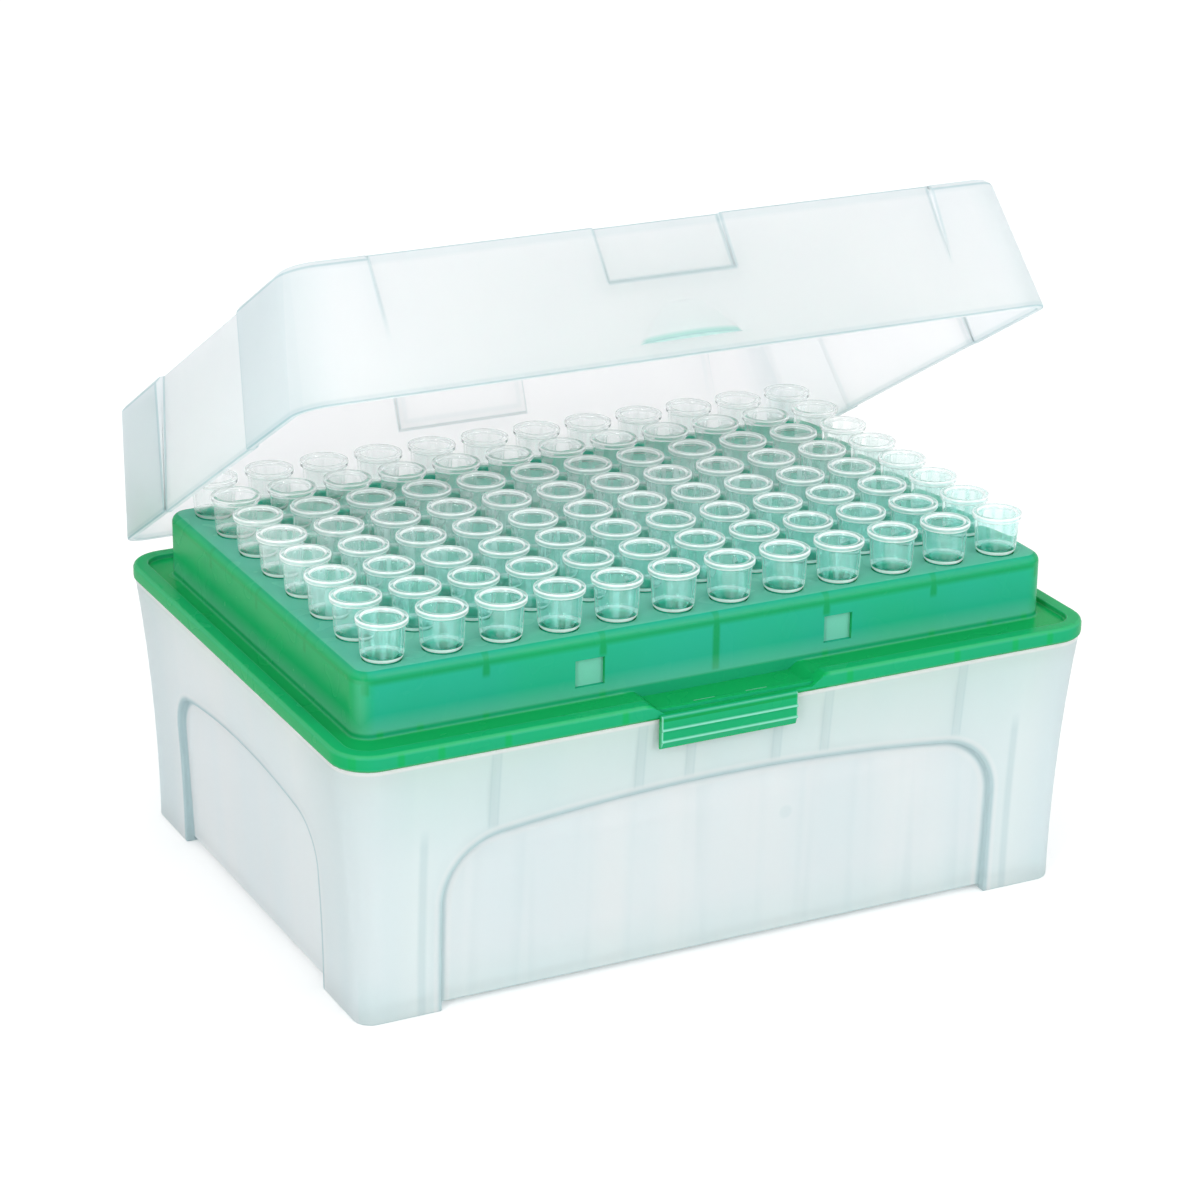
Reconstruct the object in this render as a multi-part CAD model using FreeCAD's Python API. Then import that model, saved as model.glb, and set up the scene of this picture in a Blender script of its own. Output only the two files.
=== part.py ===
import FreeCAD, Part
import math
import os
from FreeCAD import Vector

# Hinged box of pipette tips, in millimetres.
# X runs along the long side, -Y is the front with the thumb ledge, +Y the rear with the hinge, Z is up.
# The origin is the middle of the base's footprint, on the surface that its feet stand on.
# The lid is drawn open by lid_rest_angle, the pose in which it is handed over.

# Tips: standard 9 mm grid, twelve columns of eight
tip_pitch = 9.0
tip_columns = 12
tip_rows = 8
tip_length = 50.0
tip_collar_height = 6.1
tip_rim_radius = 3.72
tip_collar_radius = 3.3
tip_neck_radius = 2.9
tip_mouth_radius = 2.75
tip_orifice_radius = 0.4
tip_sides = 6

# Base: frosted box with a flared wall and an arched recess on each side
base_height = 39.8
base_flare = 2.7
base_wall = 1.3
floor_thickness = 1.3
foot_height = 0.8
foot_width = 2.4
panel_recess = 1.2
front_arch_half_width = 44.7
front_arch_crown = 28.6
front_arch_spring = 16.5
front_arch_corner = 10.0
end_arch_half_width = 27.0
end_arch_crown = 27.6
end_arch_spring = 19.0
end_arch_corner = 7.0
wall_rib_thickness = 0.9
wall_rib_depth = 2.0
wall_rib_places = (7.0, 15.0, 37.5)

# Rack: plateau with the tip holes, standing on a flange that caps the base
flange_end_margin = 4.8
flange_side_margin = 7.2
flange_corner = 5.8
flange_height = 2.4
flange_overhang = 0.3
flange_floor = 1.2
rim_width = 2.4
rim_rise = 0.8
groove_width = 0.8
groove_depth = 1.4
groove_rib_pitch = 18.0
groove_rib_thickness = 1.2
skirt_wall = 1.0
skirt_depth = 3.0
skirt_clearance = 0.4
plateau_end_margin = 5.9
plateau_side_margin = 4.8
plateau_corner = 2.8
plateau_height = 9.0
plate_thickness = 1.2
rack_wall = 1.2
hole_clearance = 0.15
rack_rib_thickness = 1.0
rack_rib_depth = 8.0
window_place = 20.0
window_width = 4.6
window_height = 4.1
window_sill = 1.3
window_depth = 0.6

# Closure: a lowered platform at the front of the flange, with two slits for the lid's hooks,
# and a ledge for the thumb that hangs from it over the base's wall
platform_half_width = 11.8
platform_ramp = 2.4
platform_drop = 0.9
slit_length = 3.2
slit_width = 0.7
slit_depth = 0.4
slit_place = 4.2
slit_setback = 2.4
ledge_half_width = 10.9
ledge_centre = -1.8
ledge_setout = 0.8
ledge_wall = 0.9
ledge_drop = 5.1
ledge_toe = 1.0
ledge_toe_inset = 0.5
ledge_ridge_places = (1.9, 3.6)
ledge_ridge_reach = 0.3
ledge_ridge_height = 0.4

# Lid: frosted cover with drafted walls
lid_height = 20.4
lid_wall = 1.2
lid_seat_gap = 0.3
lid_setback = 0.5
lid_end_draft = 3.0
lid_side_draft = 1.5
lid_corner = 4.5
lid_edge_bevel = 0.8
lid_rest_angle = 30.8
lid_panel_half_width = 44.5
lid_panel_start = 7.5
lid_panel_recess = 1.0
lid_notch_half_width = 10.0
lid_notch_start = 12.0
lid_notch_recess = 0.8
lid_end_panel_half_width = 19.8
lid_end_recess_low = 0.4
lid_end_recess_high = 1.5
thumb_lip_half_width = 9.5
thumb_lip_reach = 2.2
thumb_lip_start = 2.4
thumb_lip_rise = 5.6
thumb_lip_fade = 0.2

# Hinge: two clips on the lid turn on pins between pairs of lugs on the base
hinge_place = 35.0
hinge_drop = 1.5
hinge_pin_radius = 0.9
hinge_pin_clearance = 0.07
hinge_eye_radius = 1.65
hinge_eye_clearance = 0.25
clip_width = 9.0
clip_side_clearance = 0.3
clip_mouth = 1.5
lug_thickness = 2.2
lug_rise = 4.6

# Worked out from the sizes above
FAR = 200.0
plateau_length = (tip_columns - 1) * tip_pitch + 2 * plateau_end_margin
plateau_width = (tip_rows - 1) * tip_pitch + 2 * plateau_side_margin
flange_length = plateau_length + 2 * flange_end_margin
flange_width = plateau_width + 2 * flange_side_margin
flange_top = base_height + flange_height
channel_top = flange_top - rim_rise
platform_top = channel_top - platform_drop
plate_top = flange_top + plateau_height
tip_top = plate_top + tip_collar_height
base_length = flange_length - 2 * flange_overhang
base_width = flange_width - 2 * flange_overhang
base_corner = flange_corner - flange_overhang
lid_length = flange_length - 2 * lid_setback
lid_width = flange_width - 2 * lid_setback
lid_rim = flange_top + lid_seat_gap
flare_radius = (base_height ** 2 + base_flare ** 2) / (2 * base_flare)
hinge_y = flange_width / 2 + hinge_eye_clearance + hinge_eye_radius
hinge_z = base_height - hinge_drop


def rounded_rectangle(length, width, radius, z):
    """Closed wire of a rectangle with rounded corners, centred on the Z axis."""
    x = length / 2 - radius
    y = width / 2 - radius
    edges = []
    for turn, cx, cy in ((0, x, y), (90, -x, y), (180, -x, -y), (270, x, -y)):
        centre = Vector(cx, cy, z)
        points = []
        for step in (0, 45, 90):
            angle = math.radians(turn + step)
            points.append(centre + Vector(radius * math.cos(angle), radius * math.sin(angle), 0))
        edges.append(Part.Arc(*points).toShape())
    outline = []
    for i, arc in enumerate(edges):
        following = edges[(i + 1) % 4]
        outline.append(arc)
        outline.append(Part.makeLine(arc.Vertexes[-1].Point, following.Vertexes[0].Point))
    return Part.Wire(outline)


def rounded_prism(length, width, radius, z_low, z_high):
    face = Part.Face(rounded_rectangle(length, width, radius, z_low))
    return face.extrude(Vector(0, 0, z_high - z_low))


def box(x_low, x_high, y_low, y_high, z_low, z_high):
    corner = Vector(x_low, y_low, z_low)
    return Part.makeBox(x_high - x_low, y_high - y_low, z_high - z_low, corner)


def side_prism(points, x_low, x_high):
    """Prism along X of an outline given as (y, z) points."""
    outline = [Vector(x_low, y, z) for y, z in points]
    face = Part.Face(Part.makePolygon(outline + outline[:1]))
    return face.extrude(Vector(x_high - x_low, 0, 0))


def front_prism(points, y_low, y_high):
    """Prism along Y of an outline given as (x, z) points."""
    outline = [Vector(x, y_low, z) for x, z in points]
    face = Part.Face(Part.makePolygon(outline + outline[:1]))
    return face.extrude(Vector(0, y_high - y_low, 0))


def x_cylinder(radius, x_low, x_high, y, z):
    return Part.makeCylinder(radius, x_high - x_low, Vector(x_low, y, z), Vector(1, 0, 0))


def turned(shape, angle):
    """Copy of a shape turned about the Z axis: 0 is the front, 90 the right end, 180 the rear."""
    copy = shape.copy()
    copy.rotate(Vector(0, 0, 0), Vector(0, 0, 1), angle)
    return copy


def polygon_ring(radius, z, centre):
    """Corners of a regular polygon with two of its flats square to X."""
    corners = []
    for i in range(tip_sides):
        angle = 2 * math.pi * (i + 0.5) / tip_sides
        corners.append(centre + Vector(radius * math.cos(angle), radius * math.sin(angle), z))
    return corners


def polygon_turning(profile, centre):
    """Solid with flat sides whose (radius, z) outline is closed by its last point joining its first."""
    faces = []
    for i, (radius, z) in enumerate(profile):
        next_radius, next_z = profile[(i + 1) % len(profile)]
        ring = polygon_ring(radius, z, centre)
        next_ring = polygon_ring(next_radius, next_z, centre)
        if abs(z - next_z) < 1e-9:
            outlines = [Part.makePolygon(points + points[:1]) for points in (ring, next_ring)]
            outlines.sort(key=lambda wire: -wire.BoundBox.DiagonalLength)
            faces.append(Part.Face(outlines))
            continue
        for j in range(tip_sides):
            k = (j + 1) % tip_sides
            quad = [ring[j], ring[k], next_ring[k], next_ring[j], ring[j]]
            faces.append(Part.Face(Part.makePolygon(quad)))
    solid = Part.Solid(Part.Shell(faces))
    solid.fix(1e-6, 1e-6, 1e-6)
    return solid


# Base

def flare_inset(z):
    """How far the wall stands in, at height z, from its line at the rim."""
    return base_flare - flare_radius + math.sqrt(flare_radius ** 2 - z ** 2)


def flared_body(inset):
    """Body inside the base's flared wall, a constant distance in from its outside.

    One upright outline, concave on its outer side, is run along each wall and turned round each corner.
    """
    x = base_length / 2 - base_corner
    y = base_width / 2 - base_corner
    radii = [base_corner - inset - flare_inset(z) for z in (0, base_height / 2, base_height)]
    heights = (0, base_height / 2, base_height)
    curve = [Vector(radius, 0, z) for radius, z in zip(radii, heights)]
    outline = Part.Wire([
        Part.makeLine(Vector(0, 0, 0), curve[0]),
        Part.Arc(*curve).toShape(),
        Part.makeLine(curve[2], Vector(0, 0, base_height)),
        Part.makeLine(Vector(0, 0, base_height), Vector(0, 0, 0)),
    ])
    face = Part.Face(outline)
    parts = [box(-x, x, -y, y, 0, base_height)]
    for turn, along, across in ((0, y, x), (90, x, y), (180, y, x), (270, x, y)):
        wall = face.extrude(Vector(0, 2 * along, 0))
        wall.translate(Vector(across, -along, 0))
        corner = face.revolve(Vector(0, 0, 0), Vector(0, 0, 1), 90)
        corner.translate(Vector(across, along, 0))
        parts += [turned(wall, turn), turned(corner, turn)]
    return parts[0].fuse(parts[1:]).removeSplitter()


def arch_outline(half_width, spring, corner, crown):
    """Arch in the XZ plane: upright sides, round shoulders and a crown tangent to them."""
    across = half_width - corner
    rise = crown - spring
    crown_radius = (across ** 2 + rise ** 2 - corner ** 2) / (2 * (rise - corner))
    lean = math.asin(across / (crown_radius - corner))
    foot = -1.0

    def shoulder(side, angle):
        return Vector(side * (across + corner * math.cos(angle)), 0, spring + corner * math.sin(angle))

    top_angle = math.pi / 2 - lean
    left = (shoulder(-1, 0), shoulder(-1, top_angle / 2), shoulder(-1, top_angle))
    right = (shoulder(1, top_angle), shoulder(1, top_angle / 2), shoulder(1, 0))
    edges = [
        Part.makeLine(Vector(-half_width, 0, foot), left[0]),
        Part.Arc(*left).toShape(),
        Part.Arc(left[2], Vector(0, 0, crown), right[0]).toShape(),
        Part.Arc(*right).toShape(),
        Part.makeLine(right[2], Vector(half_width, 0, foot)),
        Part.makeLine(Vector(half_width, 0, foot), Vector(-half_width, 0, foot)),
    ]
    return Part.Wire(edges)


def arch_block(half_depth, depth, grow, half_width, spring, corner, crown):
    """What lies outside a drafted plane within the arch, for a wall half_depth from the middle."""
    wire = arch_outline(half_width + grow, spring, corner + grow, crown + grow)
    arch = Part.Face(wire).extrude(Vector(0, -FAR, 0))
    low = half_depth - flare_inset(0) - depth
    high = half_depth - flare_inset(crown) - depth
    slope = (high - low) / crown
    z_low = -2.0
    z_high = base_height
    outline = [(-low - slope * z_low, z_low), (-FAR, z_low), (-FAR, z_high), (-low - slope * z_high, z_high)]
    return arch.common(side_prism(outline, -FAR, FAR))


def arch_blocks(depth, grow):
    front = arch_block(base_width / 2, depth, grow, front_arch_half_width, front_arch_spring,
                       front_arch_corner, front_arch_crown)
    end = arch_block(base_length / 2, depth, grow, end_arch_half_width, end_arch_spring,
                     end_arch_corner, end_arch_crown)
    return [front, turned(front, 180), turned(end, 90), turned(end, 270)]


def wall_ribs():
    """Short upright ribs inside the long walls, above the arches, that the rack's skirt stands on."""
    ribs = []
    inner = base_width / 2 - base_wall - flare_inset(front_arch_crown) - wall_rib_depth
    for place in wall_rib_places:
        for middle in (-place, place):
            rib = box(middle - wall_rib_thickness / 2, middle + wall_rib_thickness / 2,
                      -base_width / 2, -inner, front_arch_crown, base_height - skirt_depth)
            ribs += [rib, turned(rib, 180)]
    return ribs


def hinge_lugs():
    """Two pairs of lugs on the rear wall, each pair joined by the pin that a lid clip turns on."""
    parts = []
    inner = clip_width / 2 + clip_side_clearance
    outer = inner + lug_thickness
    root = base_width / 2 - base_wall / 2
    web = [(root, hinge_z - lug_rise), (hinge_y, hinge_z - hinge_eye_radius),
           (hinge_y, hinge_z + hinge_pin_radius), (root, hinge_z + hinge_pin_radius)]
    for side in (-1, 1):
        middle = side * hinge_place
        for edge in (-1, 1):
            low = middle + min(edge * inner, edge * outer)
            high = middle + max(edge * inner, edge * outer)
            parts.append(side_prism(web, low, high))
            parts.append(x_cylinder(hinge_eye_radius, low, high, hinge_y, hinge_z))
        parts.append(x_cylinder(hinge_pin_radius, middle - outer, middle + outer, hinge_y, hinge_z))
    return parts


def make_base():
    outside = flared_body(0)
    panels = arch_blocks(panel_recess, 0)
    body = outside.cut(panels)
    floor_top = foot_height + floor_thickness
    hollow = flared_body(base_wall)
    hollow = hollow.common(box(-FAR, FAR, -FAR, FAR, floor_top, FAR))
    hollow = hollow.cut(arch_blocks(panel_recess + base_wall, base_wall))
    body = body.cut(hollow)
    ribs = [rib.common(outside) for rib in wall_ribs()]
    body = body.fuse(ribs + hinge_lugs())
    ring = 2 * (flare_inset(0) + foot_width)
    under = rounded_prism(base_length - ring, base_width - ring, base_corner - foot_width, -1, foot_height)
    gaps = [box(-front_arch_half_width, front_arch_half_width, -FAR, FAR, -1, foot_height),
            box(-FAR, FAR, -end_arch_half_width, end_arch_half_width, -1, foot_height)]
    return body.cut([under] + gaps).removeSplitter()


# Rack

def tip_centres():
    centres = []
    for column in range(tip_columns):
        x = (column - (tip_columns - 1) / 2) * tip_pitch
        for row in range(tip_rows):
            y = (row - (tip_rows - 1) / 2) * tip_pitch
            centres.append(Vector(x, y, 0))
    return centres


def flange_ring(inset, z_low, z_high):
    length = flange_length - 2 * inset
    width = flange_width - 2 * inset
    return rounded_prism(length, width, flange_corner - inset, z_low, z_high)


def flange():
    """Flange with its raised rim, the groove under the rim and the little ribs across the groove."""
    body = flange_ring(0, base_height, flange_top)
    body = body.cut(flange_ring(rim_width, channel_top, FAR))
    body = body.cut(flange_ring(rim_width, 0, channel_top - flange_floor))
    wall = (rim_width - groove_width) / 2
    groove = flange_ring(wall, 0, base_height + groove_depth)
    groove = groove.cut(flange_ring(wall + groove_width, 0, FAR))
    half = platform_half_width + platform_ramp
    keep = [box(-half, half, -FAR, -plateau_width / 2, 0, FAR)]
    thickness = groove_rib_thickness / 2
    for i in range(-int(flange_length / 2 / groove_rib_pitch), int(flange_length / 2 / groove_rib_pitch) + 1):
        x = i * groove_rib_pitch
        keep.append(box(x - thickness, x + thickness, -FAR, FAR, 0, FAR))
    for i in range(-int(flange_width / 2 / groove_rib_pitch), int(flange_width / 2 / groove_rib_pitch) + 1):
        y = i * groove_rib_pitch
        keep.append(box(-FAR, FAR, y - thickness, y + thickness, 0, FAR))
    return body.cut(groove.cut(keep))


def make_rack():
    body = flange()
    plateau = rounded_prism(plateau_length, plateau_width, plateau_corner, channel_top - flange_floor, plate_top)
    body = body.fuse(plateau)

    # Skirt that drops inside the base's wall
    inset = flange_overhang + base_wall + skirt_clearance
    skirt = flange_ring(inset, base_height - skirt_depth, channel_top)
    body = body.fuse(skirt.cut(flange_ring(inset + skirt_wall, 0, channel_top - flange_floor)))

    # Hollow under the plate, with ribs left between the tips
    hollow = rounded_prism(plateau_length - 2 * rack_wall, plateau_width - 2 * rack_wall,
                           plateau_corner - rack_wall, 0, plate_top - plate_thickness)
    half = rack_rib_thickness / 2
    underside = plate_top - plate_thickness
    ribs = []
    for i in range(-(tip_columns // 4), tip_columns // 4 + 1):
        x = 2 * i * tip_pitch
        if abs(x) < plateau_length / 2 - tip_pitch / 2:
            ribs.append(box(x - half, x + half, -FAR, FAR, underside - rack_rib_depth, FAR))
    for i in range(-(tip_rows // 4), tip_rows // 4 + 1):
        y = 2 * i * tip_pitch
        if abs(y) < plateau_width / 2 - tip_pitch / 2:
            ribs.append(box(-FAR, FAR, y - half, y + half, underside - rack_rib_depth, FAR))
    body = body.cut(hollow.cut(ribs))

    # One hole for each tip
    holes = []
    for centre in tip_centres():
        ring = polygon_ring(tip_neck_radius + hole_clearance, underside - 1, centre)
        holes.append(Part.Face(Part.makePolygon(ring + ring[:1])).extrude(Vector(0, 0, plate_thickness + 2)))
    body = body.cut(holes)

    # Blind windows on the front and rear of the plateau
    window_low = flange_top + window_sill
    window = box(-window_width / 2, window_width / 2, -plateau_width / 2 - 1,
                 -plateau_width / 2 + window_depth, window_low, window_low + window_height)
    for side in (-1, 1):
        for angle in (0, 180):
            copy = window.copy()
            copy.translate(Vector(side * window_place, 0, 0))
            body = body.cut(turned(copy, angle))

    # Lowered platform with its two slits and the thumb ledge
    front = -flange_width / 2
    low = platform_half_width
    high = low + platform_ramp
    pad = box(-low, low, front, -plateau_width / 2, base_height, platform_top)
    drop = [(-high, flange_top), (-low, platform_top), (low, platform_top), (high, flange_top),
            (high, flange_top + 1), (-high, flange_top + 1)]
    body = body.fuse(pad).cut(front_prism(drop, front - 1, -plateau_width / 2))
    slit_y = front + slit_setback
    slits = []
    for side in (-1, 1):
        x = side * slit_place
        slits.append(box(x - slit_length / 2, x + slit_length / 2, slit_y - slit_width / 2,
                         slit_y + slit_width / 2, platform_top - slit_depth, FAR))
    return body.fuse(thumb_ledge()).cut(slits).removeSplitter()


def thumb_ledge():
    """Upright bar hanging over the base's front wall, with two ridges for the thumb and a toe that leans in."""
    root = -flange_width / 2 + rim_width / 2
    face = -flange_width / 2 - ledge_setout
    back = face + ledge_wall
    bottom = platform_top - ledge_drop
    outline = [(root, platform_top), (face, platform_top)]
    for place in ledge_ridge_places:
        ridge_top = platform_top - place
        outline += [(face, ridge_top), (face - ledge_ridge_reach, ridge_top),
                    (face - ledge_ridge_reach, ridge_top - ledge_ridge_height),
                    (face, ridge_top - ledge_ridge_height)]
    outline += [(face, bottom + ledge_toe), (face + ledge_toe_inset, bottom), (back, bottom),
                (back, base_height), (root, base_height)]
    return side_prism(outline, ledge_centre - ledge_half_width, ledge_centre + ledge_half_width)


# Tips

def make_tip(centre):
    """Hollow tip: collar standing on the plate, widest at its rim, then a long taper to a thin orifice."""
    profile = [
        (tip_mouth_radius, tip_top),
        (tip_rim_radius, tip_top),
        (tip_collar_radius, plate_top),
        (tip_neck_radius, plate_top),
        (tip_orifice_radius, tip_top - tip_length),
    ]
    return polygon_turning(profile, centre)


# Lid, drawn closed and then opened

def drafted_body(inset, z_low, z_high):
    """Body inside the lid's drafted walls, a constant distance in from its outside."""
    halves = []
    for z in (z_low, z_high):
        share = (z - lid_rim) / lid_height
        halves.append((lid_length / 2 - inset - share * lid_end_draft,
                       lid_width / 2 - inset - share * lid_side_draft))
    (x_low, y_low), (x_high, y_high) = halves
    body = Part.makeWedge(-x_low, z_low, -y_low, -y_high, -x_high, x_low, z_high, y_low, y_high, x_high)
    body.rotate(Vector(0, 0, 0), Vector(1, 0, 0), 90)
    corners = [edge for edge in body.Edges if edge.BoundBox.ZLength > (z_high - z_low) / 2]
    return body.makeFillet(lid_corner - inset, corners)


def wall_line(half, draft, depth, z):
    """Distance from the middle to a drafted wall, less depth, at height z."""
    return half - draft * (z - lid_rim) / lid_height - depth


def recess_block(half, draft, half_width, start, depth_low, depth_high, inset):
    """What lies outside a plane that leans into a wall, for one recess in it."""
    z_low = lid_rim + start
    z_high = lid_rim + lid_height
    low = wall_line(half, draft, depth_low + inset, z_low)
    high = wall_line(half, draft, depth_high + inset, z_high)
    slope = (high - low) / (z_high - z_low)
    top = z_high + 1
    outline = [(-low, z_low), (-FAR, z_low), (-FAR, top), (-high - slope, top)]
    return side_prism(outline, -half_width - inset, half_width + inset)


def lid_recesses(inset):
    """Recess blocks for all four walls: wide panel and centre notch front and rear, one at each end."""
    panel = recess_block(lid_width / 2, lid_side_draft, lid_panel_half_width, lid_panel_start - inset,
                         0, lid_panel_recess, inset)
    notch = recess_block(lid_width / 2, lid_side_draft, lid_notch_half_width, lid_notch_start - inset,
                         lid_notch_recess, lid_panel_recess + lid_notch_recess, inset)
    end = recess_block(lid_length / 2, lid_end_draft, lid_end_panel_half_width, -1,
                       lid_end_recess_low, lid_end_recess_high, inset)
    blocks = []
    for angle in (0, 180):
        blocks += [turned(panel, angle), turned(notch, angle), turned(end, angle + 90)]
    return blocks


def thumb_lip():
    """Crescent lip on the front wall: it swells out of the wall and is flat underneath."""
    wires = []
    for z, half_width, reach in ((lid_rim + thumb_lip_start, thumb_lip_half_width, thumb_lip_reach),
                                 (lid_rim + thumb_lip_start + thumb_lip_rise, thumb_lip_half_width / 2,
                                  thumb_lip_fade)):
        wall = -wall_line(lid_width / 2, lid_side_draft, lid_wall / 2, z)
        left = Vector(-half_width, wall, z)
        right = Vector(half_width, wall, z)
        arc = Part.Arc(left, Vector(0, wall - lid_wall / 2 - reach, z), right).toShape()
        wires.append(Part.Wire([arc, Part.makeLine(right, left)]))
    return Part.makeLoft(wires, True, True)


def lid_clips():
    """Two clips that reach down behind the flange and snap over the base's hinge pins."""
    parts = []
    bores = []
    near = flange_width / 2 + hinge_eye_clearance
    far = hinge_y + hinge_eye_radius
    root = lid_width / 2 - lid_wall / 2
    arm = [(root, lid_rim), (near, lid_rim), (near, hinge_z), (far, hinge_z),
           (hinge_y + hinge_pin_radius, lid_rim + lid_wall), (root, lid_rim + 3 * lid_wall)]
    for side in (-1, 1):
        low = side * hinge_place - clip_width / 2
        high = low + clip_width
        parts.append(side_prism(arm, low, high))
        parts.append(x_cylinder(hinge_eye_radius, low, high, hinge_y, hinge_z))
        bores.append(x_cylinder(hinge_pin_radius + hinge_pin_clearance, low, high, hinge_y, hinge_z))
        bores.append(box(low, high, hinge_y - clip_mouth / 2, hinge_y + clip_mouth / 2,
                         hinge_z - 2 * hinge_eye_radius, hinge_z))
    return parts, bores


def make_lid():
    top = lid_rim + lid_height
    outside = drafted_body(0, lid_rim, top)
    top_edges = [edge for edge in outside.Edges if min(v.Z for v in edge.Vertexes) > top - 0.001]
    outside = outside.makeChamfer(lid_edge_bevel, top_edges)
    body = outside.cut(lid_recesses(0))
    hollow = drafted_body(lid_wall, lid_rim - 1, top - lid_wall).cut(lid_recesses(lid_wall))
    clips, bores = lid_clips()
    body = body.cut(hollow).fuse([thumb_lip()] + clips).cut(bores).removeSplitter()
    body.rotate(Vector(0, hinge_y, hinge_z), Vector(1, 0, 0), -lid_rest_angle)
    return body


def write(name, shape):
    shape.exportStep("parts/" + name + ".step")


os.makedirs("parts", exist_ok=True)
write("base", make_base())
write("tip_rack", make_rack())
write("lid", make_lid())
for column in range(tip_columns):
    centres = tip_centres()[column * tip_rows:(column + 1) * tip_rows]
    tips = Part.makeCompound([make_tip(centre) for centre in centres])
    write("tip_column_%02d" % (column + 1), tips)
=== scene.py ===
import math

import bmesh
import bpy
from mathutils import Matrix, Vector
from mathutils.geometry import delaunay_2d_cdt


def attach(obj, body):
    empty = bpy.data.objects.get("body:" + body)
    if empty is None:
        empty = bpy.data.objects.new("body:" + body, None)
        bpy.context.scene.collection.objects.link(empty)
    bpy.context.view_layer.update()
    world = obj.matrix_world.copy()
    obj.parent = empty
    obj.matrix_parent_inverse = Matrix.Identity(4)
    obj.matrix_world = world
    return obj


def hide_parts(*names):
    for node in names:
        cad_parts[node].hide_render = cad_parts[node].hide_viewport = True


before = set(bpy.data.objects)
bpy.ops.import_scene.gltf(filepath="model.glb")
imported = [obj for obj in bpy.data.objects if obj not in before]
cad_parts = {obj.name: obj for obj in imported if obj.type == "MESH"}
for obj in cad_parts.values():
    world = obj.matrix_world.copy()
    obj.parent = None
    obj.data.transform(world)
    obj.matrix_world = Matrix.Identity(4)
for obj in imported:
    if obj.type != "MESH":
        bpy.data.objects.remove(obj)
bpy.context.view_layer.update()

# ---------------------------------------------------------------- Base
# Box that holds the whole set: an open frosted polypropylene tub, injection moulded in one
# shot, with a flared wall, an arched recess on each side and four corner feet. Faint flow
# marks and a satin skin come from the mould.

mm = 0.001
tip_pitch, tip_columns, tip_rows = 9.0, 12, 8
round_over = 0.3
plain_white = (1, 1, 1, 1)
# Painted shade and marks on the frosted walls, and painted teal of the green seen through them
painted_shade_and_mark = (0.50, 0.66, 0.69, 1)
painted_frosted_teal = (0.62, 0.84, 0.80, 1)
tub_tone = ((0.955, 0.97, 0.978, 1), (0.895, 0.948, 0.967, 1))
long_arch = {"half_width": 44.7, "spring": 16.5, "corner": 10.0, "crown": 28.6}
end_arch = {"half_width": 27.0, "spring": 19.0, "corner": 7.0, "crown": 27.6}
wall_ribs, wall_rib_half = (7.0, 15.0, 37.5), 0.6
leg_step = 47.9
gate_place = (10.0, -39.9, 20.0)


def new_material(name):
    """Empty material with its output node."""
    material = bpy.data.materials.new(name)
    material.use_nodes = True
    tree = material.node_tree
    tree.nodes.clear()
    return material, tree, tree.nodes.new("ShaderNodeOutputMaterial")


def add_node(tree, kind, settings=(), **inputs):
    """Node of a kind with its options, and each input set to a number or linked to a socket."""
    node = tree.nodes.new("ShaderNode" + kind)
    for key, value in settings:
        setattr(node, key, value)
    for key, value in inputs.items():
        place = int(key[1:]) if key[0] == "i" and key[1:].isdigit() else key.replace("_", " ")
        socket = node.inputs[place]
        if isinstance(value, bpy.types.NodeSocket):
            tree.links.new(value, socket)
        else:
            socket.default_value = value
    return node


def object_place(tree, scale=1.0):
    """Position on the piece in millimetres divided by scale."""
    place = add_node(tree, "TexCoord").outputs["Object"]
    sized = add_node(tree, "VectorMath", [("operation", "SCALE")], i0=place)
    sized.inputs["Scale"].default_value = 1000.0 / scale
    return sized.outputs[0]


def drawn_out(tree, place, share):
    """Position with its height cut to a share, so that a pattern on it is drawn out upward."""
    return add_node(tree, "VectorMath", [("operation", "MULTIPLY")], i0=place, i1=(1.0, 1.0, share)).outputs[0]


def blend_colours(tree, share, first, second):
    """Colour that goes from first to second as share goes from 0 to 1."""
    mixed = add_node(tree, "Mix", [("data_type", "RGBA")], i0=share)
    for place, colour in ((6, first), (7, second)):
        if isinstance(colour, bpy.types.NodeSocket):
            tree.links.new(colour, mixed.inputs[place])
        else:
            mixed.inputs[place].default_value = colour
    return mixed.outputs[2]


def maths(tree, operation, *values):
    """Result of one sum on sockets or numbers."""
    node = add_node(tree, "Math", [("operation", operation)], **{f"i{i}": v for i, v in enumerate(values)})
    return node.outputs[0]


def chain(tree, operation, values):
    """Result of one sum made on sockets or numbers in turn, from the first to the last."""
    result = values[0]
    for value in values[1:]:
        result = maths(tree, operation, result, value)
    return result


def product(tree, *values):
    """Sockets or numbers multiplied together."""
    return chain(tree, "MULTIPLY", values)


def total(tree, *values):
    """Sockets or numbers added together."""
    return chain(tree, "ADD", values)


def largest(tree, *values):
    """The largest of some sockets or numbers."""
    return chain(tree, "MAXIMUM", values)


def left_over(tree, value):
    """1 less the value."""
    return maths(tree, "SUBTRACT", 1.0, value)


def unsigned(tree, value):
    """The value without its sign."""
    return maths(tree, "ABSOLUTE", value)


def length(tree, first, second):
    """Distance covered by two steps at right angles."""
    return maths(tree, "SQRT", total(tree, product(tree, first, first), product(tree, second, second)))


def ramp(tree, value, low, high, at_low=0.0, at_high=1.0):
    """Value mapped from low..high to at_low..at_high and held there beyond."""
    return add_node(tree, "MapRange", Value=value, From_Min=low, From_Max=high, To_Min=at_low,
                    To_Max=at_high).outputs[0]


def edge_mark(tree):
    """1 along the rounded edges and steps of a moulding, where its wall is thicker, and 0 elsewhere; the
    materials paint shade or pale light along it.
    """
    return add_node(tree, "Attribute", [("attribute_name", "edge")]).outputs["Fac"]


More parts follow.
